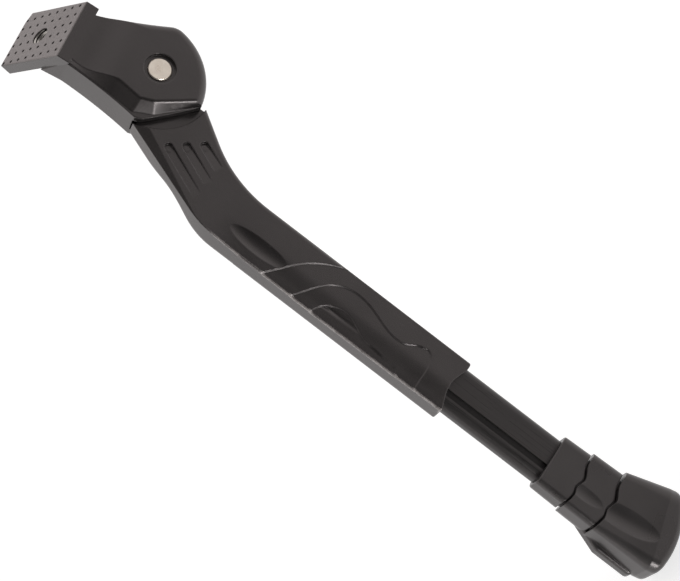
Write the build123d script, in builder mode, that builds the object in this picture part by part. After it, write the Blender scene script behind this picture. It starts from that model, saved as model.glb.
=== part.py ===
"""Bicycle kickstand: cast head, folding leg, sliding lower tube and rubber foot.

The origin is the centre of the frame bolt hole on the dimpled top face of the head's plate.
+X points to the rear of the bicycle, -Y outwards to the left side, +Z up.
"""
import os
from math import cos, radians, sin, tan

from build123d import *

# Plate that clamps under the chainstays
plate_length = 42.7
plate_width = 29.8
plate_thickness = 5.6
plate_outer_edge = 23.1
plate_outer_draft = 2.4
plate_edge_round = 0.5
plate_outer_shift = -0.85
plate_inner_shift = 2.25
plate_cut_length = 5.4
plate_cut_depth = 1.65
bolt_hole_radius = 4.25
bolt_hole_margin = 0.8
dimple_radius = 0.78
dimple_depth = 0.6
dimple_rows = 6
dimple_columns = 8
dimple_pitch_x = 4.84
dimple_pitch_y = 5.376
dimple_shift_x = 0.3
dimple_shift_y = -0.85

# Hinge: its axis leans up and outwards, and the boss face is the zero level along it
hinge_tilt = 32.0
hinge_out = 46.0
hinge_drop = 33.2
fold_angle = 95.0

# Head casting, thicknesses along the hinge axis
boss_height = 4.8
outer_cheek = 3.4
slot_width = 8.0
inner_cheek = 4.1

# Head casting, outlines around the hinge axis
cheek_radius = 23.1
rim_start = 257.0
rim_end = 4.0
rim_arc = 31.0
rim_corner_round = 8.0
web_reach = 23.8
web_end = 0.7
web_hollow = 0.7
lip_reach = 23.2
lip_drop = 2.6
lip_bulge = 0.3
neck_front = 15.4
neck_rear = 10.2
neck_hollow = 0.8
neck_top = 35.6
neck_slant = 1.1

# Raised boss and neck: front corners in shares of the cheek's radius, at the face and at the cheek
boss_neck_face = 11.6
boss_neck_foot = 14.4
boss_face = ((-0.584, 0.575), (-0.735, 0.088), (-0.668, -0.173))
boss_foot = ((-0.836, 0.575), (-0.956, 0.115), (-0.814, -0.265))
boss_corner_round = 4.0
boss_edge_round = 3.6
boss_low_edge_round = 1.8
saddle_start = 12.0
saddle_softness = 1.2

# Pivot pin
pin_radius = 5.2
pin_running_clearance = 0.05
pin_recess_radius = 7.0
pin_recess_depth = 1.6
pin_end_drop = 0.7
pin_end_chamfer = 0.4
pin_head_radius = 8.0
pin_head_height = 2.4
pin_head_round = 1.7

# Leg casting: hinge tongue, bent upper leg and straight socket
leg_face_drop = 2.0
tongue_radius = 17.0
tongue_side_clearance = 0.3
tongue_end_clearance = 0.5
tongue_overlap = 4.0
step_radius = 25.0
leg_front_angle = 174.9
leg_rear_angle = 265.0
hinge_block_depth = 12.6
hinge_block_reach = 29.0
thigh_depth = 9.6
thigh_thin_reach = 46.0
thigh_end_reach = 75.0
thigh_bevel_width = 5.0
thigh_bevel_depth = 1.3
knee_x = -41.4
knee_y = -46.0
knee_front_round = 40.0
knee_rear_round = 60.0
shin_lean = 12.5
shin_length = 124.0
leg_width = 25.9
leg_depth = 13.8
leg_back_round = 4.0
shin_back_round = 3.8
leg_face_round = 2.0
leg_front_round = 0.7
leg_end_margin = 3.0
leg_end_round = 0.7

# Finger slots on the upper leg
groove_count = 3
groove_width = 3.9
groove_depth = 1.2
groove_x = -28.1
groove_y = -17.8
groove_lean = 37.0
groove_length = 24.3
groove_pitch = 7.2
groove_stagger = 2.9
groove_shortening = 6.2

# Wave relief on the straight leg, points in shares of the half width and of the length below the knee
relief_start_depths = (0.65, 1.15, 1.6)
relief_end_depths = (0.35, 0.65, 1.0)
relief_margin = 1.1
relief_draft = 40.0
dish_radius = 9.0
dish_length = 30.0
dish_depth = 0.8
dish_shift = -4.4
dish_drop = 25.0
wave_margin = 1.15
wave_overrun = 2.0
upper_wave = ((-wave_margin, 0.244), (-0.47, 0.299), (0.32, 0.369), (0.79, 0.441), (wave_margin, 0.532))
middle_wave = (
    (-wave_margin, 0.363),
    (-0.22, 0.429),
    (0.28, 0.478),
    (0.52, 0.546),
    (0.41, 0.638),
    (0.08, 0.75),
    (0.22, 0.81),
    (0.5, 0.845),
    (0.4, 0.88),
    (0.0, 0.9),
    (-wave_margin, 0.911),
)
lower_wave = (
    (-wave_margin, 0.456),
    (-0.29, 0.519),
    (-0.19, 0.575),
    (-0.64, 0.694),
    (-0.63, 0.796),
    (-wave_margin, 0.843),
)

# Wave of the leg's lower end, across and along the leg in shares of the half width
leg_end_wave = (
    (-wave_margin, 0.2),
    (-0.78, 0.13),
    (-0.55, 0.038),
    (-0.35, -0.031),
    (0.11, -0.062),
    (0.73, 0.108),
    (wave_margin, 0.01),
)

# Lower tube and its socket
tube_width = 21.8
tube_depth = 9.4
tube_round = 4.0
tube_wall = 1.8
tube_length = 148.0
tube_top = 76.0
tube_groove_width = 3.0
tube_groove_depth = 1.0
tube_groove_shift = -4.5
tube_shift = 0.8
socket_clearance = 0.2
socket_top = 34.0
socket_front_wall = 2.2

# Rubber foot: three sleeves, each wider than the one above, and the slanted sole
sleeve_length = 15.5
sleeve_wall = 2.1
sleeve_growth = 1.2
sleeve_flare = 0.4
sleeve_rim_round = 0.9
sleeve_crease_round = 2.4
sleeve_rear_round = 4.0
sleeve_gap_width = 0.9
sleeve_gap_depth = 1.1
scallop_depth = 3.0
scallop_wave = (
    (-1.5, -0.5),
    (-0.9, 0.05),
    (-0.66, 0.1),
    (-0.4, -0.1),
    (0.0, 0.3),
    (0.55, -0.35),
    (0.9, -0.47),
    (1.5, -0.47),
)
foot_grip = 48.5
foot_dish_radius = 9.0
foot_dish_length = 30.0
foot_dish_depth = 1.3
foot_dish_shift = -5.0
sole_gap = 21.5
sole_height = 9.2
sole_crown = 4.7
sole_slant = 14.0
sole_width = 38.6
sole_depth = 26.0
sole_corner = 11.5
sole_crease_round = 5.0
sole_rear_round = 7.5
sole_edge_round = 3.0
sole_shift_rear = 1.7
sole_shift_out = 2.5
fin_thickness = 6.0
fin_drop = 3.0
fin_rear_reach = 1.6
fin_rear_height = 5.5
fin_rear_end = 1.5
fin_front_reach = 0.6
fin_front_height = 15.0
fin_front_start = 12.0
fin_front_end = 3.0
fin_corner_round = 2.2
fin_edge_round = 1.6

# Detent plunger and its spring
plunger_radius = 3.2
plunger_length = 9.0
plunger_clearance = 0.06
plunger_lift = 0.3
plunger_bore_depth = 17.5
detent_depth = 1.2
detent_clearance = 0.4
spring_wire = 0.8
spring_radius = 2.5
spring_turns = 6

# Clamp screw
screw_radius = 3.0
screw_thread_clearance = 0.05
screw_tip_clearance = 0.05
screw_boss_radius = 7.0
screw_boss_height = 4.0
screw_from_end = 14.0
screw_hex_radius = 1.75
screw_hex_depth = 3.0

os.makedirs("parts", exist_ok=True)

# Levels along the hinge axis
axis_up = Vector(0, -cos(radians(hinge_tilt)), sin(radians(hinge_tilt)))
hinge = Plane(origin=(0, -hinge_out, -hinge_drop), x_dir=(1, 0, 0), z_dir=axis_up)
outwards = Axis(hinge.origin, axis_up)
cheek_face = -boss_height
slot_top = cheek_face - outer_cheek
slot_floor = slot_top - slot_width
head_back = slot_floor - inner_cheek
slot_middle = (slot_top + slot_floor) / 2
leg_face = cheek_face - leg_face_drop

# Planes of the straight leg: across it, and along its face
shin_rear = hinge.x_dir * cos(radians(shin_lean)) - hinge.y_dir * sin(radians(shin_lean))
shin_down = hinge.x_dir * -sin(radians(shin_lean)) - hinge.y_dir * cos(radians(shin_lean))
knee = hinge.from_local_coords((knee_x, knee_y, leg_face))
shin = Plane(origin=knee, x_dir=shin_rear, z_dir=shin_down)
shin_face = Plane(origin=knee, x_dir=shin_rear, z_dir=axis_up)
downwards = Axis(knee, shin_down)
tube_centre = -(socket_front_wall + socket_clearance + tube_depth / 2)
tube_end = tube_top + tube_length


def around_hinge(radius, angle):
    """Point on a circle around the hinge axis, at an angle from the rear direction."""
    return Vector(radius * cos(radians(angle)), radius * sin(radians(angle)))


def hollowed(start, end, hollow):
    """Middle point of an arc that bends to the left of the way from start to end."""
    run = (end - start).normalized()
    return (start + end) / 2 + Vector(-run.Y, run.X) * hollow


# Corners of the cheeks and level of the plate's outer wall, seen along the hinge axis
rim_from = around_hinge(cheek_radius, rim_start)
rim_to = around_hinge(cheek_radius, rim_end)
neck_foot = Vector(neck_rear, neck_top)
neck_middle = hollowed(rim_to, neck_foot, neck_hollow)
front_foot = Vector(-neck_front, neck_top)
web_corner = Vector(-web_reach, web_end)
web_middle = hollowed(front_foot, web_corner, web_hollow)
under_plate = Vector(neck_slant, plate_length)
lip = Vector(-lip_reach, -lip_drop)
lip_middle = (lip + rim_from) / 2 + (lip + rim_from).normalized() * lip_bulge
wall_top = hinge.to_local_coords(Vector(0, -plate_outer_edge, 0))
wall_foot = hinge.to_local_coords(Vector(0, -plate_outer_edge - plate_outer_draft, -plate_thickness))
head_side = Plane(origin=hinge.origin, x_dir=hinge.y_dir, z_dir=hinge.x_dir)
plate_slant = (plate_inner_shift - plate_outer_shift) / plate_length


def boss_section(level, neck_corner, corners):
    """Outline of the raised boss and neck at a level along the hinge axis."""
    front = [Vector(corner) * cheek_radius for corner in corners]
    with BuildSketch(hinge.offset(level)) as section:
        with BuildLine():
            ThreePointArc(rim_to, neck_middle, neck_foot)
            Polyline(neck_foot, (-neck_corner, neck_top), *front, rim_from)
            RadiusArc(rim_from, rim_to, -rim_arc)
        make_face()
        fillet(section.vertices().sort_by_distance(rim_to)[0], radius=rim_corner_round)
    return section.sketch


def plate_section(below_top, draft):
    """Outline of the plate, with its outer edge moved out by a draft."""
    outer = plate_outer_edge + draft
    middle = plate_outer_shift - draft * plate_slant
    inner = plate_length - plate_outer_edge
    with BuildSketch(Plane.XY.offset(-below_top)) as section:
        with BuildLine():
            Polyline(
                (middle - plate_width / 2, -outer),
                (middle + plate_width / 2, -outer),
                (plate_inner_shift + plate_width / 2, inner - plate_cut_depth),
                (plate_inner_shift + plate_width / 2 - plate_cut_length, inner),
                (plate_inner_shift - plate_width / 2, inner),
                close=True,
            )
        make_face()
    return section.sketch


# Boss: sloping flanks towards the front and the leg, a round rim at the rear, and a saddle towards the plate
with BuildPart() as boss:
    loft(
        [boss_section(cheek_face, boss_neck_foot, boss_foot), boss_section(0, boss_neck_face, boss_face)],
        ruled=True,
    )
    flank_corners = ShapeList()
    for edge in boss.edges():
        middle = hinge.to_local_coords(edge @ 0.5)
        slanting = abs((edge @ 1 - edge @ 0).dot(axis_up)) > boss_height / 2
        if slanting and middle.X < rim_from.X and middle.Y < neck_top - boss_corner_round:
            flank_corners.append(edge)
    fillet(flank_corners, radius=boss_corner_round)
    top_edges = boss.faces().filter_by(hinge).sort_by(outwards)[-1].edges()
    fillet(top_edges.filter_by(lambda edge: hinge.to_local_coords(edge @ 0.5).X > 0), radius=boss_edge_round)
    top_edges = boss.faces().filter_by(hinge).sort_by(outwards)[-1].edges()
    fillet(
        top_edges.filter_by(lambda edge: hinge.to_local_coords(edge @ 0.5).X < rim_from.X),
        radius=boss_low_edge_round,
    )
    with BuildSketch(head_side):
        with BuildLine():
            Spline(
                (saddle_start, 0),
                (wall_foot.Y, wall_foot.Z),
                tangents=[(1, 0), (wall_top.Y - wall_foot.Y, wall_top.Z - wall_foot.Z)],
                tangent_scalars=[saddle_softness, saddle_softness],
            )
            Polyline(
                (wall_foot.Y, wall_foot.Z),
                (wall_top.Y, wall_top.Z),
                (wall_top.Y, boss_height),
                (saddle_start, boss_height),
                (saddle_start, 0),
            )
        make_face()
    extrude(amount=2 * cheek_radius, both=True, mode=Mode.SUBTRACT)

# Head: plate, neck and the two cheeks that hold the leg
bore_bottom = tongue_radius + tongue_end_clearance
bore_top = bore_bottom + plunger_bore_depth
plunger_axis = Plane(
    origin=hinge.from_local_coords((0, 0, slot_middle)), x_dir=hinge.x_dir, z_dir=hinge.y_dir
)
with BuildPart() as head:
    with BuildSketch(hinge.offset(cheek_face)) as cheeks:
        with BuildLine():
            ThreePointArc(rim_to, neck_middle, neck_foot)
            Polyline(neck_foot, neck_foot + under_plate, front_foot + under_plate, front_foot)
            ThreePointArc(front_foot, web_middle, web_corner)
            Line(web_corner, lip)
            ThreePointArc(lip, lip_middle, rim_from)
            RadiusArc(rim_from, rim_to, -rim_arc)
        make_face()
        fillet(cheeks.vertices().sort_by_distance(rim_to)[0], radius=rim_corner_round)
    extrude(amount=head_back - cheek_face)
    split(bisect_by=Plane.XY.offset(-plate_thickness), keep=Keep.BOTTOM)
    loft([plate_section(plate_thickness, plate_outer_draft), plate_section(0, 0)], ruled=True)
    fillet(head.faces().sort_by(Axis.Z)[-1].edges(), radius=plate_edge_round)
    add(boss.part)
    with BuildSketch(hinge.offset(slot_top)):
        Circle(tongue_radius + tongue_end_clearance)
        with Locations((0, web_end)):
            Rectangle(4 * cheek_radius, 2 * cheek_radius, align=(Align.CENTER, Align.MAX))
    extrude(amount=-slot_width, mode=Mode.SUBTRACT)
    with BuildSketch(hinge):
        Circle(pin_recess_radius)
    extrude(amount=-pin_recess_depth, mode=Mode.SUBTRACT)
    with BuildSketch(hinge):
        Circle(pin_radius)
    extrude(amount=head_back, mode=Mode.SUBTRACT)
    with BuildSketch(plunger_axis):
        Circle(plunger_radius + plunger_clearance)
    extrude(amount=bore_top, mode=Mode.SUBTRACT)
    with BuildSketch(Plane.XY):
        Circle(bolt_hole_radius)
    extrude(amount=-plate_thickness, mode=Mode.SUBTRACT)
    # Rows of dimples leave the bolt hole free
    with BuildSketch(Plane.XY):
        for spot in GridLocations(dimple_pitch_x, dimple_pitch_y, dimple_rows, dimple_columns):
            place = spot.position + Vector(dimple_shift_x, dimple_shift_y)
            if place.length > bolt_hole_radius + bolt_hole_margin:
                with Locations(place):
                    Circle(dimple_radius)
    extrude(amount=-dimple_depth, mode=Mode.SUBTRACT)
head.part.label = "head"
export_step(head.part, "parts/head.step")

# Pivot pin with a riveted head at the back
with BuildPart() as pivot_pin:
    with BuildSketch(hinge.offset(-pin_end_drop)):
        Circle(pin_radius)
    extrude(amount=head_back + pin_end_drop)
    with BuildSketch(hinge.offset(head_back)):
        Circle(pin_head_radius)
    extrude(amount=-pin_head_height)
    rims = pivot_pin.edges().filter_by(GeomType.CIRCLE).group_by(outwards)
    fillet(rims[0], radius=pin_head_round)
    chamfer(pivot_pin.edges().filter_by(GeomType.CIRCLE).group_by(outwards)[-1], length=pin_end_chamfer)
pivot_pin.part.label = "pivot_pin"
export_step(pivot_pin.part, "parts/pivot_pin.step")

# Outline points of the upper leg, from the step beside the head to the knee
across = Vector(cos(radians(shin_lean)), -sin(radians(shin_lean)))
along = Vector(-sin(radians(shin_lean)), -cos(radians(shin_lean)))
knee_point = Vector(knee_x, knee_y)
front_knee = knee_point - across * (leg_width / 2)
rear_knee = knee_point + across * (leg_width / 2)
inside_step = step_radius - thigh_bevel_depth
front_top = around_hinge(inside_step, leg_front_angle)
rear_top = around_hinge(inside_step, leg_rear_angle)
front_run = (front_knee - front_top).normalized()
rear_run = (rear_knee - rear_top).normalized()
shin_start = knee_rear_round * tan(radians(rear_run.get_angle(along) / 2)) + leg_face_round
knee_stub = along * shin_start
tongue_front = front_top + front_run * tongue_overlap
tongue_rear = rear_top + rear_run * tongue_overlap
tongue_root = (tongue_front + tongue_rear).normalized() * (step_radius + tongue_overlap)

# Side plane of the upper leg and the plane of the bevel that runs out at the knee
thigh_run = knee_point.normalized()
thigh_down = hinge.x_dir * thigh_run.X + hinge.y_dir * thigh_run.Y
thigh_side = Plane(
    origin=hinge.from_local_coords((0, 0, leg_face)),
    x_dir=thigh_down,
    z_dir=hinge.x_dir * thigh_run.Y - hinge.y_dir * thigh_run.X,
)
bevel_inside = tongue_front + Vector(-front_run.Y, front_run.X) * thigh_bevel_width
bevel_high = hinge.from_local_coords((bevel_inside.X, bevel_inside.Y, leg_face))
bevel_low = hinge.from_local_coords((tongue_front.X, tongue_front.Y, leg_face - thigh_bevel_depth))
bevel_end = hinge.from_local_coords((front_knee.X, front_knee.Y, leg_face))
bevel = Plane(
    origin=bevel_high,
    x_dir=bevel_end - bevel_high,
    z_dir=(bevel_low - bevel_high).cross(bevel_end - bevel_high),
)


def shin_section(below_knee):
    """Cross-section of the straight leg: flat face outwards, round edges at the back."""
    with BuildSketch(shin.offset(below_knee)) as section:
        with Locations((0, -leg_depth / 2)):
            Rectangle(leg_width, leg_depth)
        fillet(section.vertices().group_by(Axis.Y)[0], radius=shin_back_round)
        fillet(section.vertices().group_by(Axis.Y)[-1].sort_by(Axis.X)[0], radius=leg_front_round)
        fillet(section.vertices().group_by(Axis.Y)[-1].sort_by(Axis.X)[-1], radius=leg_face_round)
    return section.sketch


def tube_section(below_knee, wall):
    """Outline of the lower tube, grown on all sides by a wall."""
    with BuildSketch(shin.offset(below_knee)) as section:
        with Locations((tube_shift, tube_centre)):
            RectangleRounded(tube_width + 2 * wall, tube_depth + 2 * wall, tube_round + wall)
    return section.sketch


def on_shin_face(points):
    """Points of the wave relief in millimetres on the face of the straight leg."""
    return [(share * leg_width / 2, -length * shin_length) for share, length in points]


def wave_cutter(curve, border, start_depth, end_depth):
    """Body that a wave of the relief takes off the leg's face, with a floor that rises towards the foot."""
    start = shin_face.from_local_coords((0, on_shin_face(border)[-1][1], -start_depth))
    end = shin_face.from_local_coords((0, -shin_length, -end_depth))
    floor = Plane(origin=start, x_dir=shin_rear, z_dir=shin_rear.cross(start - end))
    with BuildPart() as cutter:
        with BuildSketch(shin_face):
            with BuildLine():
                Spline(*on_shin_face(curve))
                Polyline(*on_shin_face(border))
            make_face()
        extrude(amount=-relief_margin * start_depth, taper=relief_draft)
        split(bisect_by=floor, keep=Keep.TOP)
    return cutter.part


waves = (upper_wave, middle_wave, lower_wave)
wave_borders = (
    (upper_wave[-1], (wave_margin, wave_overrun), (-wave_margin, wave_overrun), upper_wave[0]),
    (middle_wave[-1], middle_wave[0]),
    (lower_wave[-1], lower_wave[0]),
)
wave_cutters = [
    wave_cutter(*wave) for wave in zip(waves, wave_borders, relief_start_depths, relief_end_depths)
]
dish_reach = dish_length ** 2 / (8 * dish_depth)
dish_centre = shin.from_local_coords((dish_shift, dish_reach - dish_depth, dish_drop))
leg_end_points = [
    (share * leg_width / 2, -shin_length - rise * leg_width / 2) for share, rise in leg_end_wave
]
screw_plane = Plane(
    origin=shin.from_local_coords((0, -leg_depth - screw_boss_height, shin_length - screw_from_end)),
    x_dir=shin_rear,
    z_dir=-axis_up,
)
tube_back = tube_centre - tube_depth / 2
screw_length = leg_depth + screw_boss_height + tube_back - screw_tip_clearance
groove_run = Vector(-sin(radians(groove_lean)), -cos(radians(groove_lean)))
groove_side = Vector(-groove_run.Y, groove_run.X)
dimple_centre = tongue_radius - detent_depth + plunger_radius + detent_clearance

# Leg: hinge tongue, bent upper part and the socket for the lower tube
with BuildPart() as leg:
    with BuildSketch(hinge.offset(leg_face)) as thigh:
        with BuildLine():
            Polyline(
                (0, 0),
                front_top,
                front_knee,
                front_knee + knee_stub,
                rear_knee + knee_stub,
                rear_knee,
                rear_top,
                close=True,
            )
        make_face()
        fillet(thigh.vertices().sort_by_distance(front_knee)[0], radius=knee_front_round)
        fillet(thigh.vertices().sort_by_distance(rear_knee)[0], radius=knee_rear_round)
        Circle(step_radius, mode=Mode.SUBTRACT)
    extrude(amount=-leg_depth)
    # The back of the upper leg is hollowed to a thinner bar between the hinge and the knee
    with BuildSketch(thigh_side):
        with BuildLine():
            Spline(
                (hinge_block_reach, -hinge_block_depth),
                (thigh_thin_reach, -thigh_depth),
                (thigh_end_reach, -leg_depth),
                tangents=[(1, 0), (1, 0)],
            )
            Polyline(
                (thigh_end_reach, -leg_depth),
                (thigh_end_reach, -2 * leg_depth),
                (0, -2 * leg_depth),
                (0, -hinge_block_depth),
                (hinge_block_reach, -hinge_block_depth),
            )
        make_face()
    extrude(amount=shin_length, both=True, mode=Mode.SUBTRACT)
    # Edges within this angle of the upper leg's run are rounded
    edge_angle = 50.0
    back_edges = ShapeList()
    rear_edges = ShapeList()
    for edge in leg.edges():
        middle = thigh_side.to_local_coords(edge @ 0.5)
        lengthwise = abs((edge % 0.5).dot(thigh_down)) > cos(radians(edge_angle))
        if lengthwise and middle.X > hinge_block_reach and middle.Y < -thigh_depth + thigh_bevel_depth:
            back_edges.append(edge)
        if lengthwise and abs(middle.Y) < leg_face_round and middle.Z < 0:
            rear_edges.append(edge)
    fillet(back_edges, radius=leg_back_round)
    fillet(rear_edges, radius=leg_face_round)
    split(bisect_by=bevel, keep=Keep.BOTTOM)
    with BuildSketch(hinge.offset(slot_top - tongue_side_clearance)):
        Circle(tongue_radius)
        with BuildLine():
            Polyline((0, 0), tongue_front, tongue_root, tongue_rear, close=True)
        make_face()
        Circle(pin_radius + pin_running_clearance, mode=Mode.SUBTRACT)
    extrude(amount=2 * tongue_side_clearance - slot_width)
    extrude(shin_section(shin_start), amount=shin_length + leg_end_margin - shin_start)
    with BuildSketch(shin_face):
        with BuildLine():
            Spline(*leg_end_points)
            Polyline(
                leg_end_points[-1],
                (leg_end_points[-1][0], -2 * shin_length),
                (leg_end_points[0][0], -2 * shin_length),
                leg_end_points[0],
            )
        make_face()
    extrude(amount=2 * leg_depth, both=True, mode=Mode.SUBTRACT)
    fillet(leg.faces().sort_by(downwards)[-1].edges(), radius=leg_end_round)
    with BuildSketch(screw_plane):
        Circle(screw_boss_radius)
    extrude(amount=-screw_boss_height - shin_back_round / 2)
    extrude(tube_section(socket_top, socket_clearance), amount=shin_length, mode=Mode.SUBTRACT)
    with BuildSketch(screw_plane):
        Circle(screw_radius)
    extrude(amount=-screw_length - socket_clearance, mode=Mode.SUBTRACT)
    # Finger slots that run out towards the knee
    for number in range(groove_count):
        top = Vector(groove_x, groove_y) + groove_side * groove_pitch * number
        top = top + groove_run * groove_stagger * number
        bottom = top + groove_run * (groove_length - groove_shortening * number)
        deep_end = hinge.from_local_coords((top.X, top.Y, leg_face - groove_depth))
        shallow_end = hinge.from_local_coords((bottom.X, bottom.Y, leg_face))
        run = shallow_end - deep_end
        groove = Plane(origin=(deep_end + shallow_end) / 2, x_dir=run, z_dir=run.cross(axis_up).cross(run))
        with BuildSketch(groove):
            SlotCenterToCenter(run.length, groove_width)
        extrude(amount=2 * groove_depth, mode=Mode.SUBTRACT)
    # Shallow dish above the wave relief
    with Locations(Plane(origin=dish_centre, z_dir=shin_rear)):
        Torus(dish_reach - dish_radius, dish_radius, mode=Mode.SUBTRACT)
    # Wave relief: each wave lies deepest at its upper edge
    for cutter in wave_cutters:
        add(cutter, mode=Mode.SUBTRACT)
    # Dimples in the tongue's rim catch the plunger when the leg stands and when it is folded
    for angle in (90, 90 - fold_angle):
        rim = around_hinge(dimple_centre, angle)
        with Locations(Plane(origin=hinge.from_local_coords((rim.X, rim.Y, slot_middle)), z_dir=axis_up)):
            Sphere(plunger_radius + detent_clearance, mode=Mode.SUBTRACT)
leg.part.label = "leg"
export_step(leg.part, "parts/leg.step")

# Lower tube: hollow extrusion with a lengthwise groove
with BuildPart() as lower_tube:
    extrude(tube_section(tube_top, 0), amount=tube_length)
    extrude(tube_section(tube_top, -tube_wall), amount=tube_length, mode=Mode.SUBTRACT)
    with BuildSketch(shin.offset(tube_top)):
        with Locations((tube_shift + tube_groove_shift, tube_centre + tube_depth / 2)):
            Rectangle(tube_groove_width, 2 * tube_groove_depth)
    extrude(amount=tube_length, mode=Mode.SUBTRACT)
lower_tube.part.label = "lower_tube"
export_step(lower_tube.part, "parts/lower_tube.step")

# Rubber foot: three sleeves that overlap like cups, and a flared, slanted sole with two fins
foot_top = tube_end - foot_grip
first_step = foot_top + sleeve_length
second_step = first_step + sleeve_length
sole_top = second_step + sole_gap
sole_rear = sole_shift_rear + sole_width / 2
sole_front = sole_shift_rear - sole_width / 2
sole_face = tube_centre + sole_shift_out + sole_depth / 2
second_wall = sleeve_wall + sleeve_growth
third_wall = second_wall + sleeve_growth
sleeve_face = tube_centre + tube_depth / 2 + third_wall
foot_side = Plane(origin=shin.from_local_coords((tube_shift, tube_centre, 0)), x_dir=shin_rear, z_dir=axis_up)
sole_plane = Plane(
    origin=shin.from_local_coords((tube_shift, tube_centre + sole_shift_out, sole_top)),
    x_dir=shin_rear * cos(radians(sole_slant)) - shin_down * sin(radians(sole_slant)),
    z_dir=shin_down * cos(radians(sole_slant)) + shin_rear * sin(radians(sole_slant)),
)
sole_side = Plane(origin=sole_plane.origin, x_dir=sole_plane.x_dir, z_dir=axis_up)
foot_dish_start = shin.from_local_coords((tube_shift + foot_dish_shift, sleeve_face, second_step))
foot_dish_end = shin.from_local_coords((tube_shift + foot_dish_shift, sole_face, sole_top))
foot_dish_out = (foot_dish_end - foot_dish_start).cross(shin_rear).normalized()
foot_dish_reach = foot_dish_length ** 2 / (8 * foot_dish_depth)
foot_dish_centre = (foot_dish_start + foot_dish_end) / 2 + foot_dish_out * (foot_dish_reach - foot_dish_depth)


def creased(plane, shift, width, depth, corner_round, crease_round, rear_round):
    """Round-cornered outline with a sharper crease at the front of its face."""
    with BuildSketch(plane) as section:
        with Locations(shift):
            Rectangle(width, depth)
        fillet(section.vertices().group_by(Axis.Y)[0], radius=corner_round)
        fillet(section.vertices().group_by(Axis.Y)[-1].sort_by(Axis.X)[0], radius=crease_round)
        fillet(section.vertices().group_by(Axis.Y)[-1].sort_by(Axis.X)[-1], radius=rear_round)
    return section.sketch


def sleeve_section(below_knee, wall):
    """Outline of a sleeve, a wall around the lower tube."""
    return creased(
        shin.offset(below_knee),
        (tube_shift, tube_centre),
        tube_width + 2 * wall,
        tube_depth + 2 * wall,
        tube_round + wall,
        sleeve_crease_round,
        sleeve_rear_round,
    )


def scallop(top):
    """Points of a sleeve's wavy rim."""
    return [(share * tube_width / 2, -top - rise * scallop_depth) for share, rise in scallop_wave]


def scalloped(top, sections):
    """Sleeve that starts in a wavy rim."""
    rim = scallop(top)
    with BuildPart() as body:
        loft(sections)
        with BuildSketch(foot_side):
            with BuildLine():
                Spline(*rim)
                Polyline(rim[-1], (rim[-1][0], 0), (rim[0][0], 0), rim[0])
            make_face()
        extrude(amount=sole_depth, both=True, mode=Mode.SUBTRACT)
    return body.part


def rim_gap(top, wall):
    """Narrow gap around a sleeve of a given wall, along the rim of the next one."""
    low = scallop(top)
    high = scallop(top - sleeve_gap_width)
    with BuildPart() as gap:
        with BuildSketch(foot_side):
            with BuildLine():
                Spline(*low)
                Line(low[-1], high[-1])
                Spline(*high)
                Line(high[0], low[0])
            make_face()
        extrude(amount=sole_depth, both=True)
        extrude(tube_section(0, wall - sleeve_gap_depth), amount=tube_end, mode=Mode.SUBTRACT)
    return gap.part


sole_section = creased(
    sole_plane,
    (sole_shift_rear, 0),
    sole_width,
    sole_depth,
    sole_corner,
    sole_crease_round,
    sole_rear_round,
)
second_sleeve = scalloped(
    first_step,
    [
        sleeve_section(first_step - scallop_depth, second_wall),
        sleeve_section(second_step + scallop_depth, second_wall + sleeve_flare),
    ],
)
third_sleeve = scalloped(
    second_step, [sleeve_section(second_step - scallop_depth, third_wall), sole_section]
)
# Sole with a crowned bottom and a round edge
with BuildPart() as sole:
    extrude(sole_section, amount=sole_height)
    with BuildSketch(sole_side):
        with BuildLine():
            ThreePointArc(
                (sole_rear, sole_crown - sole_height),
                (sole_shift_rear, -sole_height),
                (sole_front, sole_crown - sole_height),
            )
            Polyline(
                (sole_front, sole_crown - sole_height),
                (sole_front - sole_width, sole_crown - sole_height),
                (sole_front - sole_width, -sole_width),
                (sole_rear + sole_width, -sole_width),
                (sole_rear + sole_width, sole_crown - sole_height),
                (sole_rear, sole_crown - sole_height),
            )
        make_face()
    extrude(amount=sole_depth, both=True, mode=Mode.SUBTRACT)
    fillet(sole.faces().sort_by(downwards)[-1].edges(), radius=sole_edge_round)

# Fins along both sides of the sole
with BuildPart() as fins:
    with BuildSketch(foot_side.offset(-fin_drop)) as fin_outline:
        with BuildLine():
            Polyline(
                (tube_width / 2, -second_step),
                (sole_rear + fin_rear_reach, -sole_top + fin_rear_height),
                (sole_rear + fin_rear_reach, -sole_top + fin_rear_end),
                (0, -sole_top - sole_height / 2),
                (sole_front - fin_front_reach, -sole_top - fin_front_end),
                (sole_front - fin_front_reach, -sole_top + fin_front_height),
                (-tube_width / 2, -second_step + fin_front_start),
                close=True,
            )
        make_face()
        outer_corners = fin_outline.vertices().filter_by(
            lambda corner: abs(corner.X) > tube_width / 2 + fin_corner_round
        )
        fillet(outer_corners, radius=fin_corner_round)
    extrude(amount=fin_thickness / 2, both=True)
    fillet(fins.faces().filter_by(foot_side).edges(), radius=fin_edge_round)

with BuildPart() as foot:
    loft(
        [
            sleeve_section(foot_top, sleeve_wall),
            sleeve_section(first_step + scallop_depth, sleeve_wall + sleeve_flare),
        ]
    )
    fillet(foot.faces().sort_by(downwards)[0].edges(), radius=sleeve_rim_round)
    add(rim_gap(first_step, sleeve_wall), mode=Mode.SUBTRACT)
    add(second_sleeve)
    add(rim_gap(second_step, second_wall), mode=Mode.SUBTRACT)
    add(third_sleeve)
    add(sole.part)
    add(fins.part)
    with Locations(Plane(origin=foot_dish_centre, z_dir=shin_rear)):
        Torus(foot_dish_reach - foot_dish_radius, foot_dish_radius, mode=Mode.SUBTRACT)
    extrude(tube_section(0, 0), amount=tube_end, mode=Mode.SUBTRACT)
foot.part.label = "foot"
export_step(foot.part, "parts/foot.step")

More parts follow.
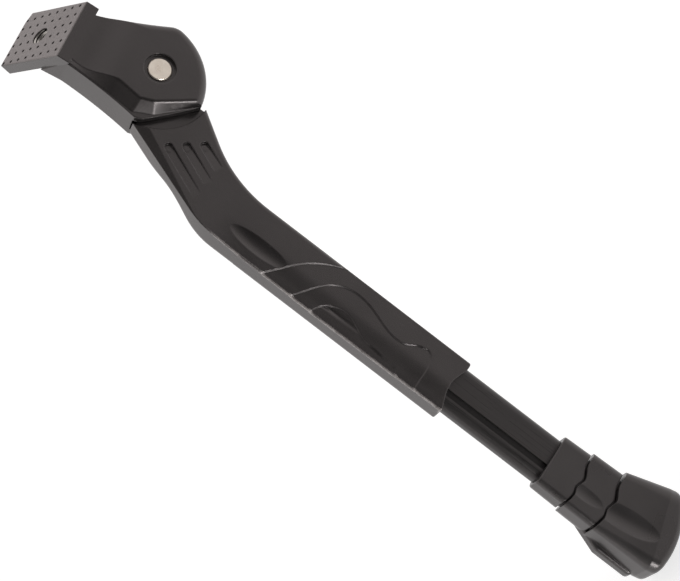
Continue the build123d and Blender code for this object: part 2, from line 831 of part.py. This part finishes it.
# Detent plunger, riding on the tongue's rim
plunger_tip = tongue_radius + plunger_lift
with BuildPart() as plunger:
    with BuildSketch(plunger_axis.offset(plunger_tip + plunger_radius)):
        Circle(plunger_radius)
    extrude(amount=plunger_length - plunger_radius)
    with Locations(plunger_axis.offset(plunger_tip + plunger_radius)):
        Sphere(plunger_radius)
plunger.part.label = "detent_plunger"
export_step(plunger.part, "parts/detent_plunger.step")

# Coil spring between the plunger and the end of its bore
spring_bottom = plunger_tip + plunger_length + spring_wire / 2
spring_height = bore_top - spring_bottom - spring_wire / 2
with BuildPart() as spring:
    with BuildLine(plunger_axis.offset(spring_bottom)) as coil:
        Helix(
            pitch=spring_height / spring_turns,
            height=spring_height,
            radius=spring_radius,
            direction=plunger_axis.z_dir,
        )
    with BuildSketch(Plane(origin=coil.line @ 0, z_dir=coil.line % 0)):
        Circle(spring_wire / 2)
    sweep(path=coil.line, is_frenet=True)
spring.part.label = "detent_spring"
export_step(spring.part, "parts/detent_spring.step")

# Clamp screw at the back of the leg, its tip on the tube
with BuildPart() as clamp_screw:
    with BuildSketch(screw_plane):
        Circle(screw_radius - screw_thread_clearance)
    extrude(amount=-screw_length)
    with BuildSketch(screw_plane):
        RegularPolygon(screw_hex_radius, 6)
    extrude(amount=-screw_hex_depth, mode=Mode.SUBTRACT)
clamp_screw.part.label = "clamp_screw"
export_step(clamp_screw.part, "parts/clamp_screw.step")
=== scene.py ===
"""Looks of the bicycle kickstand: finishes, crowned leg, bolt thread, studio and camera."""
from math import cos, radians, sin, tau

import bmesh
import bpy
from mathutils import Euler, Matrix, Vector


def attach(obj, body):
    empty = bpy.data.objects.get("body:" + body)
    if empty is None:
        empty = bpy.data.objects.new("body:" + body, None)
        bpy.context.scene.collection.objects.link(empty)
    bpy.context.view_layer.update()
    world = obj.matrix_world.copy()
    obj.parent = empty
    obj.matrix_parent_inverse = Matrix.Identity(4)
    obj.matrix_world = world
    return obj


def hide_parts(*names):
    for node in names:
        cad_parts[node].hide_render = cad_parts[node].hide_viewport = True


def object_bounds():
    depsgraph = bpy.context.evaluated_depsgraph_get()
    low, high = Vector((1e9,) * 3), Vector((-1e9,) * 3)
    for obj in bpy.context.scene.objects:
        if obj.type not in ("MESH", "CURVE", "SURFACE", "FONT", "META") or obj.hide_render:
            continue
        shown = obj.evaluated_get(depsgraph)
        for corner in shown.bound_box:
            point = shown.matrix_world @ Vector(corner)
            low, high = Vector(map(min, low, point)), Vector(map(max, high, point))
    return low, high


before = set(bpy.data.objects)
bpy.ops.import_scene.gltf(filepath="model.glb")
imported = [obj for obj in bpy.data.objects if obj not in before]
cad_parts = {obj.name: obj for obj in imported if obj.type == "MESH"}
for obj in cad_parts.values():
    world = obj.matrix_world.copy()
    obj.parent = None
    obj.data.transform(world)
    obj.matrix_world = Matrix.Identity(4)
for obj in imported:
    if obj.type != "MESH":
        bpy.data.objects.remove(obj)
cad_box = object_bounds()

# Camera: place, point that it looks at, turn about its own axis in degrees, lens and sensor in mm
camera_place = (-0.38168, -0.62353, 0.29304)
camera_aim = (-0.03964, -0.07626, -0.14503)
camera_roll = -47.34
lens_length = 95.29
sensor_width = 36.0

# Directions of the part, in metres like all lengths below: hinge, and the straight leg's run and width
hinge_point = (0.0, -0.046, -0.0332)
hinge_axis = (0.0, -0.848048, 0.529919)
shin_down = (-0.21644, -0.51736, -0.82794)
shin_rear = (0.97630, -0.11470, -0.18355)
knee_point = (-0.0414, -0.06461, -0.07581)

# Thread of the frame bolt hole, with its run-out per turn and its least share of the full height
thread_radius = 0.00428
thread_crest = 0.00378
thread_flank = 0.00062
thread_pitch = 0.0015
thread_top = -0.0008
thread_bottom = -0.0048
thread_steps = 40
run_out_rate = 3.0
run_out_least = 0.02

# Crown of the straight leg's face: soft shoulder, fall to the front edge, run-in below the knee
shoulder_front = -0.0092
shoulder_rear = -0.0008
shoulder_height = 0.00045
fall_front = -0.014
fall_rear = 0.0015
fall_height = 0.001
crown_full = 0.025

# Depth of what counts as that face, and the planes that cut it finer before it is lowered
face_depth = 0.00205
across_spacing = 0.001
across_numbers = range(-14, 2)
along_spacing = 0.0025
along_numbers = range(11)
weld_distance = 0.000001
slope_step = 0.00001

# Softened edges
edge_radius = 0.0007
edge_samples = 6

# Ranges for masks, and the part of a noise's range that carries colour and gloss
rising = (0.0, 1.0)
falling = (1.0, 0.0)
noise_span = (0.3, 0.7)

# Black coat
paint_index = 1.7
paint_sheen = (1.0, 0.93, 0.92, 1.0)
coat_colours = ((0.0165, 0.0152, 0.0149), (0.0245, 0.0226, 0.0222))
coat_scale = 60.0
coat_gloss = (0.2, 0.29)
coat_gloss_scale = 35.0
coat_bump = (0.1, 0.0003)
peel_scale = 700.0

# Rough upper ends of the leg's finger slots
slot_ends = (
    (-0.0281, -0.04865, -0.05253),
    (-0.0241, -0.05217, -0.05817),
    (-0.0201, -0.0557, -0.06381),
)
slot_end_radius = 0.0024
pit_scale = 900.0
pit_roughness = 0.7
pit_height = 40.0

# Painted highlight along the straight leg's front edge, a light grey line broken up like worn paint:
# its limits on the leg, the bend that shows it, its break-up
highlight_radius = 0.0018
highlight_across = -0.0118
highlight_along = 0.012
highlight_below = -0.0046
highlight_bend = (0.93, 0.995)
edge_highlight_colours = ((0.4, 0.37, 0.36), (0.56, 0.525, 0.51))
edge_highlight_scale = 500.0
highlight_break_scale = 160.0
highlight_break_share = (0.5, 1.0)
highlight_break_span = (0.3, 0.6)

# Top face of the plate: lighter grey, grainier and duller than the coat
top_band = (-0.0005, -0.0001)
top_colours = ((0.155, 0.139, 0.136), (0.255, 0.232, 0.228))
top_scale = 900.0
top_roughness = 0.6
top_dullness = 0.2

# Lower tube: drawing lines, and the groove's painted shade: its middle, half width, blend, floor level
# and fade above it
line_stretch = 0.02
line_scale = 2500.0
line_roughness = 0.6
tube_colours = ((0.0175, 0.0165, 0.0162), (0.0265, 0.0252, 0.0248))
tube_gloss = (0.24, 0.38)
tube_bump = (0.06, 0.0001)
groove_across = -0.02279
groove_half = 0.0015
groove_blend = 0.0001
groove_floor = 0.01122
groove_fade = (0.0006, 0.0009)
# Painted shade: darker colours on the groove's floor
groove_shade_colours = ((0.005, 0.0048, 0.0048), (0.008, 0.0077, 0.0076))
groove_dullness = 0.5

# Foot
rubber_index = 1.62
rubber_colours = ((0.021, 0.0198, 0.0195), (0.03, 0.0285, 0.0282))
rubber_scale = 45.0
rubber_gloss = (0.25, 0.36)
rubber_bump = (0.08, 0.0003)
rubber_grain = 1100.0

# Turned pin
pin_colours = ((0.8, 0.72, 0.62), (0.97, 0.9, 0.79))
pin_scale = 260.0
pin_gloss = (0.26, 0.4)
ring_pitch = 0.0006
ring_wobble = 1.2
wobble_scale = 500.0

# Plated steel
plated_colours = ((0.5, 0.48, 0.45), (0.64, 0.62, 0.58))
screw_colours = ((0.1, 0.095, 0.09), (0.17, 0.16, 0.15))
steel_scale = 300.0
steel_gloss = (0.25, 0.4)
steel_grain = 1500.0
steel_bump = (0.05, 0.0001)

# Studio: floor, levels of the world from behind the object to behind the camera, lamps
floor_gap = 0.0005
floor_size = 6.0
floor_white = 0.6
floor_fill = 0.66
world_steps = ((0.0, 1.0), (0.66, 0.92), (0.8, 0.62), (0.88, 0.28), (0.97, 0.06))
world_warmth = (1.0, 0.965, 0.96)
studio_aim = (0.0, -0.08, -0.1)
lamps = (
    ("low_light", (-0.34, -0.41, -0.25), 0.17, 1.0),
    ("edge_light", (-1.17, 0.11, 0.08), 0.25, 0.5),
)


def new_material(name):
    """Principled material with its node tree, shader node and object coordinates."""
    material = bpy.data.materials.new(name)
    material.use_nodes = True
    tree = material.node_tree
    shader = tree.nodes["Principled BSDF"]
    coords = tree.nodes.new("ShaderNodeTexCoord").outputs["Object"]
    return material, tree, shader, coords


def noise(tree, coords, scale, detail=3.0, roughness=0.5):
    """Noise between 0 and 1."""
    node = tree.nodes.new("ShaderNodeTexNoise")
    node.inputs["Scale"].default_value = scale
    node.inputs["Detail"].default_value = detail
    node.inputs["Roughness"].default_value = roughness
    tree.links.new(coords, node.inputs["Vector"])
    return node.outputs["Fac"]


def vector_math(tree, operation, first, second=None, output="Vector"):
    """Vector operation on a link with a link or a fixed vector."""
    node = tree.nodes.new("ShaderNodeVectorMath")
    node.operation = operation
    tree.links.new(first, node.inputs[0])
    if isinstance(second, tuple):
        node.inputs[1].default_value = second
    elif second is not None:
        tree.links.new(second, node.inputs[1])
    return node.outputs[output]


def dot(tree, first, second):
    """Scalar product of a link with a link or a fixed vector."""
    return vector_math(tree, "DOT_PRODUCT", first, second, "Value")


def number_math(tree, operation, first, second=None):
    """Operation on a link with a link or a fixed number."""
    node = tree.nodes.new("ShaderNodeMath")
    node.operation = operation
    tree.links.new(first, node.inputs[0])
    if isinstance(second, float):
        node.inputs[1].default_value = second
    elif second is not None:
        tree.links.new(second, node.inputs[1])
    return node.outputs["Value"]


def product(tree, first, second):
    """Product of a link with a link or a fixed number."""
    return number_math(tree, "MULTIPLY", first, second)


def distance_from(tree, value, level):
    """Distance of a value from a fixed level."""
    return number_math(tree, "ABSOLUTE", number_math(tree, "SUBTRACT", value, level))


def spread(tree, value, target, source, kind="LINEAR"):
    """Map a value from a source range onto a target range, clamped."""
    node = tree.nodes.new("ShaderNodeMapRange")
    node.interpolation_type = kind
    node.inputs["From Min"].default_value = source[0]
    node.inputs["From Max"].default_value = source[1]
    node.inputs["To Min"].default_value = target[0]
    node.inputs["To Max"].default_value = target[1]
    tree.links.new(value, node.inputs["Value"])
    return node.outputs["Result"]


def tint(tree, value, colours):
    """Colour between two colours, by a noise."""
    node = tree.nodes.new("ShaderNodeValToRGB")
    for element, place, colour in zip(node.color_ramp.elements, noise_span, colours):
        element.position = place
        element.color = (*colour, 1.0)
    tree.links.new(value, node.inputs["Fac"])
    return node.outputs["Color"]


def mix(tree, mask, first, second):
    """First colour where the mask is 0, second where it is 1."""
    node = tree.nodes.new("ShaderNodeMix")
    node.data_type = "RGBA"
    tree.links.new(mask, node.inputs["Factor"])
    tree.links.new(first, node.inputs["A"])
    tree.links.new(second, node.inputs["B"])
    return node.outputs["Result"]


def soft_edges(tree, radius=edge_radius):
    """Normal that is rounded off along sharp edges."""
    node = tree.nodes.new("ShaderNodeBevel")
    node.samples = edge_samples
    node.inputs["Radius"].default_value = radius
    return node.outputs["Normal"]


def bump(tree, shader, height, size, under=None):
    """Bump of a strength and distance on the shader's normal, over another normal if there is one."""
    node = tree.nodes.new("ShaderNodeBump")
    node.inputs["Strength"].default_value = size[0]
    node.inputs["Distance"].default_value = size[1]
    tree.links.new(height, node.inputs["Height"])
    if under is not None:
        tree.links.new(under, node.inputs["Normal"])
    tree.links.new(node.outputs["Normal"], shader.inputs["Normal"])


def link_finish(tree, shader, colour, gloss):
    """Connect a colour and a roughness to the shader."""
    tree.links.new(colour, shader.inputs["Base Color"])
    tree.links.new(gloss, shader.inputs["Roughness"])


def shin_parts(tree, vector):
    """A vector's parts across the straight leg, along it and out of its face."""
    return [dot(tree, vector, side) for side in (shin_rear, shin_down, hinge_axis)]


def painted(name):
    """Satin black powder coat: material parts, its mottled colour and its uneven gloss."""
    material, tree, shader, coords = new_material(name)
    shader.inputs["IOR"].default_value = paint_index
    shader.inputs["Specular Tint"].default_value = paint_sheen
    colour = tint(tree, noise(tree, coords, coat_scale), coat_colours)
    gloss = spread(tree, noise(tree, coords, coat_gloss_scale, 4.0), coat_gloss, noise_span)
    return material, tree, shader, coords, colour, gloss


def painted_edge_highlight(tree, coords):
    """Mask of the painted highlight along the straight leg's front edge, from the bend of its rounded
    normal, broken up like worn paint.
    """
    flat = tree.nodes.new("ShaderNodeNewGeometry").outputs["Normal"]
    bend = spread(tree, dot(tree, soft_edges(tree, highlight_radius), flat), falling, highlight_bend)
    arm = vector_math(tree, "SUBTRACT", coords, knee_point)
    across, along, out = shin_parts(tree, arm)
    front = number_math(tree, "LESS_THAN", across, highlight_across)
    raised = number_math(tree, "GREATER_THAN", out, highlight_below)
    started = spread(tree, along, rising, (0.0, highlight_along), "SMOOTHSTEP")
    place = product(tree, product(tree, front, raised), started)
    break_up = spread(tree, noise(tree, coords, highlight_break_scale), highlight_break_share, highlight_break_span)
    return product(tree, product(tree, bend, place), break_up)


def slot_end_mask(tree, coords):
    """Mask of the rough spots at the upper ends of the finger slots."""
    mask = None
    for place in slot_ends:
        reach = vector_math(tree, "DISTANCE", coords, place, "Value")
        spot = spread(tree, reach, falling, (slot_end_radius / 2, slot_end_radius))
        mask = spot if mask is None else number_math(tree, "MAXIMUM", mask, spot)
    return mask


def leg_paint():
    """Black coat with slight orange peel, coarse finger slot ends and a painted highlight along the
    front edge.
    """
    material, tree, shader, coords, coat, gloss = painted("leg_paint")
    # Light grey painted highlight along the front edge, broken up like worn paint
    highlight_tint = tint(tree, noise(tree, coords, edge_highlight_scale), edge_highlight_colours)
    link_finish(tree, shader, mix(tree, painted_edge_highlight(tree, coords), coat, highlight_tint), gloss)
    pits = product(tree, noise(tree, coords, pit_scale, 3.0, pit_roughness), pit_height)
    peel = noise(tree, coords, peel_scale, 2.0)
    skin = number_math(tree, "ADD", peel, product(tree, slot_end_mask(tree, coords), pits))
    bump(tree, shader, skin, coat_bump, soft_edges(tree))
    return material


def head_paint():
    """The same coat, with a lighter grey, grainy and duller top face where the plate meets the frame.
    """
    material, tree, shader, coords, coat, gloss = painted("head_paint")
    parts = tree.nodes.new("ShaderNodeSeparateXYZ")
    tree.links.new(coords, parts.inputs["Vector"])
    top = spread(tree, parts.outputs["Z"], rising, top_band)
    grain = noise(tree, coords, top_scale, 4.0, top_roughness)
    # The top face is coloured lighter grey than the coat
    lighter_top = tint(tree, grain, top_colours)
    dull = number_math(tree, "ADD", gloss, product(tree, top, top_dullness))
    link_finish(tree, shader, mix(tree, top, coat, lighter_top), dull)
    peel = noise(tree, coords, peel_scale, 2.0)
    skin = number_math(tree, "ADD", peel, product(tree, top, grain))
    bump(tree, shader, skin, coat_bump, soft_edges(tree))
    return material


def drawn_tube():
    """Black anodised tube with fine lengthwise drawing lines, and painted shade and a duller finish in
    its groove.
    """
    material, tree, shader, coords = new_material("drawn_tube")
    shader.inputs["Specular Tint"].default_value = paint_sheen
    across, along, out = shin_parts(tree, coords)
    joined = tree.nodes.new("ShaderNodeCombineXYZ")
    for place, value in enumerate((across, out, product(tree, along, line_stretch))):
        tree.links.new(value, joined.inputs[place])
    lines = noise(tree, joined.outputs["Vector"], line_scale, 3.0, line_roughness)
    sideways = distance_from(tree, across, groove_across)
    inside = spread(tree, sideways, falling, (groove_half, groove_half + groove_blend))
    sunk = spread(tree, distance_from(tree, out, groove_floor), falling, groove_fade)
    groove = product(tree, inside, sunk)
    # Painted shade on the groove's floor
    colour = mix(tree, groove, tint(tree, lines, tube_colours), tint(tree, lines, groove_shade_colours))
    gloss = spread(tree, lines, tube_gloss, noise_span)
    dull = number_math(tree, "ADD", gloss, product(tree, groove, groove_dullness))
    link_finish(tree, shader, colour, dull)
    bump(tree, shader, lines, tube_bump)
    return material


def moulded_rubber():
    """Black rubber with a fine moulded grain and a dull bloom."""
    material, tree, shader, coords = new_material("moulded_rubber")
    shader.inputs["IOR"].default_value = rubber_index
    shader.inputs["Specular Tint"].default_value = paint_sheen
    bloom = noise(tree, coords, rubber_scale, 4.0)
    gloss = spread(tree, bloom, rubber_gloss, noise_span)
    link_finish(tree, shader, tint(tree, bloom, rubber_colours), gloss)
    bump(tree, shader, noise(tree, coords, rubber_grain), rubber_bump, soft_edges(tree))
    return material


def turned_steel():
    """Bare warm steel with turning rings around the hinge axis."""
    material, tree, shader, coords = new_material("turned_steel")
    arm = vector_math(tree, "SUBTRACT", coords, hinge_point)
    around = vector_math(tree, "CROSS_PRODUCT", arm, hinge_axis)
    radius = vector_math(tree, "LENGTH", around, None, "Value")
    wobble = product(tree, noise(tree, coords, wobble_scale, 2.0), ring_wobble)
    phase = number_math(tree, "ADD", product(tree, radius, tau / ring_pitch), wobble)
    cloud = noise(tree, coords, pin_scale, 4.0)
    gloss = spread(tree, cloud, pin_gloss, noise_span)
    link_finish(tree, shader, tint(tree, cloud, pin_colours), gloss)
    shader.inputs["Metallic"].default_value = 1.0
    bump(tree, shader, number_math(tree, "SINE", phase), steel_bump)
    return material


def plain_steel(name, colours):
    """Plated steel, slightly uneven."""
    material, tree, shader, coords = new_material(name)
    cloud = noise(tree, coords, steel_scale, 4.0)
    gloss = spread(tree, cloud, steel_gloss, noise_span)
    link_finish(tree, shader, tint(tree, cloud, colours), gloss)
    shader.inputs["Metallic"].default_value = 1.0
    bump(tree, shader, noise(tree, coords, steel_grain, 2.0), steel_bump)
    return material


def paint_node(node, material):
    """Give a carried-over solid its finish."""
    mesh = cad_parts[node].data
    mesh.materials.clear()
    mesh.materials.append(material)


def new_piece(name, shape, material):
    """Object and mesh of a finished shape."""
    mesh = bpy.data.meshes.new(name)
    shape.to_mesh(mesh)
    shape.free()
    mesh.materials.clear()
    mesh.materials.append(material)
    piece = bpy.data.objects.new(name, mesh)
    bpy.context.scene.collection.objects.link(piece)
    return piece


def eased(value, low, high):
    """Share between two values, with soft ends."""
    share = min(max((value - low) / (high - low), 0.0), 1.0)
    return share * share * (3.0 - 2.0 * share)


def crown_drop(across, along):
    """Distance by which the face below the knee lies under the flat one."""
    shoulder = shoulder_height * (1.0 - eased(across, shoulder_front, shoulder_rear))
    fall = max((fall_rear - across) / (fall_rear - fall_front), 0.0)
    return (shoulder + fall_height * fall * fall) * eased(along, 0.0, crown_full)


def crowned_leg(material):
    """The leg with a crowned face below the knee, in place of the flat one."""
    knee, out = Vector(knee_point), Vector(hinge_axis)
    down, rear = Vector(shin_down), Vector(shin_rear)
    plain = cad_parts["leg"].data
    shape = bmesh.new()
    shape.from_mesh(plain)

    # The solid's shading normals go along as corner values, which the cuts below interpolate
    shading = shape.loops.layers.float_vector.new("shading")
    for face, polygon in zip(shape.faces, plain.polygons):
        for place, loop in enumerate(face.loops):
            loop[shading] = plain.corner_normals[polygon.loop_start + place].vector
    bmesh.ops.remove_doubles(shape, verts=shape.verts, dist=weld_distance)

    def on_face(vert):
        arm = vert.co - knee
        return arm.dot(out) > -face_depth and arm.dot(down) > 0.0

    planes = [(down, along_spacing * number) for number in along_numbers]
    planes += [(rear, across_spacing * number) for number in across_numbers]
    for normal, place in planes:
        faces = [face for face in shape.faces if any(on_face(vert) for vert in face.verts)]
        edges = list(dict.fromkeys(edge for face in faces for edge in face.edges))
        verts = list(dict.fromkeys(vert for face in faces for vert in face.verts))
        bmesh.ops.bisect_plane(shape, geom=verts + edges + faces, dist=weld_distance,
                               plane_co=knee + normal * place, plane_no=normal)
    bmesh.ops.triangulate(shape, faces=[face for face in shape.faces if len(face.verts) > 3])

    # Lower the face and tilt its normals by the slope
    for vert in [vert for vert in shape.verts if on_face(vert)]:
        arm = vert.co - knee
        across, along = arm.dot(rear), arm.dot(down)
        drop = crown_drop(across, along)
        slope = rear * (crown_drop(across + slope_step, along) - drop) / slope_step
        slope += down * (crown_drop(across, along + slope_step) - drop) / slope_step
        for loop in vert.link_loops:
            loop[shading] += slope * loop[shading].dot(out)
        vert.co -= out * drop
    normals = [loop[shading].normalized() for face in shape.faces for loop in face.loops]
    for face in shape.faces:
        face.smooth = True
    leg = new_piece("crowned_leg", shape, material)
    leg.data.normals_split_custom_set(normals)
    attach(leg, "leg")
    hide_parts("leg")


def bolt_thread(material):
    """Helical thread ridge on the wall of the frame bolt hole, running out at both ends."""
    shape = bmesh.new()
    turns = (thread_top - thread_bottom) / thread_pitch
    count = round(turns * thread_steps)
    rings = []
    for step in range(count + 1):
        angle = tau * step / thread_steps
        height = thread_top - thread_pitch * step / thread_steps
        run_out = min(1.0, run_out_rate * min(step, count - step) / thread_steps)
        crest = thread_radius + (thread_crest - thread_radius) * max(run_out, run_out_least)
        flank = thread_flank * max(run_out, run_out_least)
        ring = []
        for radius, rise in ((thread_radius, -flank), (crest, 0.0), (thread_radius, flank)):
            place = (radius * cos(angle), radius * sin(angle), height + rise)
            ring.append(shape.verts.new(place))
        rings.append(ring)
    for ring, following in zip(rings, rings[1:]):
        for side in range(3):
            other = (side + 1) % 3
            shape.faces.new((ring[side], ring[other], following[other], following[side]))
    shape.faces.new(rings[0])
    shape.faces.new(rings[-1])
    bmesh.ops.recalc_face_normals(shape, faces=shape.faces)
    thread = new_piece("bolt_thread", shape, material)
    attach(thread, "head")


def soft_box(name, place, size, power):
    """Square area light that shines at the object."""
    data = bpy.data.lights.new(name, "AREA")
    data.size = size
    data.energy = power
    lamp = bpy.data.objects.new(name, data)
    lamp.location = place
    aim = Vector(studio_aim) - Vector(place)
    lamp.rotation_euler = aim.to_track_quat("-Z", "Y").to_euler()
    lamp.visible_camera = False
    bpy.context.scene.collection.objects.link(lamp)


steel = plain_steel("plated_steel", plated_colours)
coat = leg_paint()
paint_node("head", head_paint())
paint_node("leg", coat)
paint_node("lower_tube", drawn_tube())
paint_node("foot", moulded_rubber())
paint_node("pivot_pin", turned_steel())
paint_node("detent_plunger", steel)
paint_node("detent_spring", steel)
paint_node("clamp_screw", plain_steel("black_steel", screw_colours))
crowned_leg(coat)
bolt_thread(steel)

# Floor: pale, lifted to white for the eye and for reflections, with the object's shadow on it
floor_place = (0, 0, cad_box[0][2] - floor_gap)
bpy.ops.mesh.primitive_plane_add(size=floor_size, location=floor_place)
floor = bpy.context.object
floor.name = "floor"
floor_material, floor_tree, floor_shader, _ = new_material("floor")
floor_shader.inputs["Base Color"].default_value = (floor_white, floor_white, floor_white, 1.0)
floor_shader.inputs["Roughness"].default_value = 1.0
floor_shader.inputs["Specular IOR Level"].default_value = 0.0
floor_shader.inputs["Emission Color"].default_value = (1.0, 1.0, 1.0, 1.0)
path = floor_tree.nodes.new("ShaderNodeLightPath").outputs
seen = number_math(floor_tree, "MAXIMUM", path["Is Camera Ray"], path["Is Glossy Ray"])
seen = number_math(floor_tree, "MAXIMUM", seen, path["Is Transmission Ray"])
fill = product(floor_tree, seen, floor_fill)
floor_tree.links.new(fill, floor_shader.inputs["Emission Strength"])
floor.data.materials.append(floor_material)

# World: white to the camera; its light dims from behind the object to behind the camera
view_back = (Vector(camera_place) - Vector(camera_aim)).normalized()
world = bpy.data.worlds.new("studio")
bpy.context.scene.world = world
world.use_nodes = True
sky = world.node_tree
direction = sky.nodes.new("ShaderNodeTexCoord").outputs["Generated"]
nearness = spread(sky, dot(sky, direction, tuple(view_back)), rising, (-1.0, 1.0))
ramp = sky.nodes.new("ShaderNodeValToRGB")
sky.links.new(nearness, ramp.inputs["Fac"])
levels = ramp.color_ramp.elements
for place, _ in world_steps[1:-1]:
    levels.new(place)
for element, (place, level) in zip(levels, world_steps):
    element.position = place
    element.color = (*(level * part for part in world_warmth), 1.0)
white = sky.nodes.new("ShaderNodeRGB").outputs["Color"]
white.default_value = (1.0, 1.0, 1.0, 1.0)
eye = sky.nodes.new("ShaderNodeLightPath").outputs["Is Camera Ray"]
backdrop = mix(sky, eye, ramp.outputs["Color"], white)
sky.links.new(backdrop, sky.nodes["Background"].inputs["Color"])

for lamp_values in lamps:
    soft_box(*lamp_values)

camera_data = bpy.data.cameras.new("camera")
camera_data.lens = lens_length
camera_data.sensor_width = sensor_width
camera = bpy.data.objects.new("camera", camera_data)
camera.location = camera_place
look = (Vector(camera_aim) - Vector(camera_place)).to_track_quat("-Z", "Y")
turn = Euler((0, 0, radians(camera_roll))).to_quaternion()
camera.rotation_euler = (look @ turn).to_euler()
bpy.context.scene.collection.objects.link(camera)
bpy.context.scene.camera = camera
bpy.context.scene.view_settings.view_transform = "Standard"
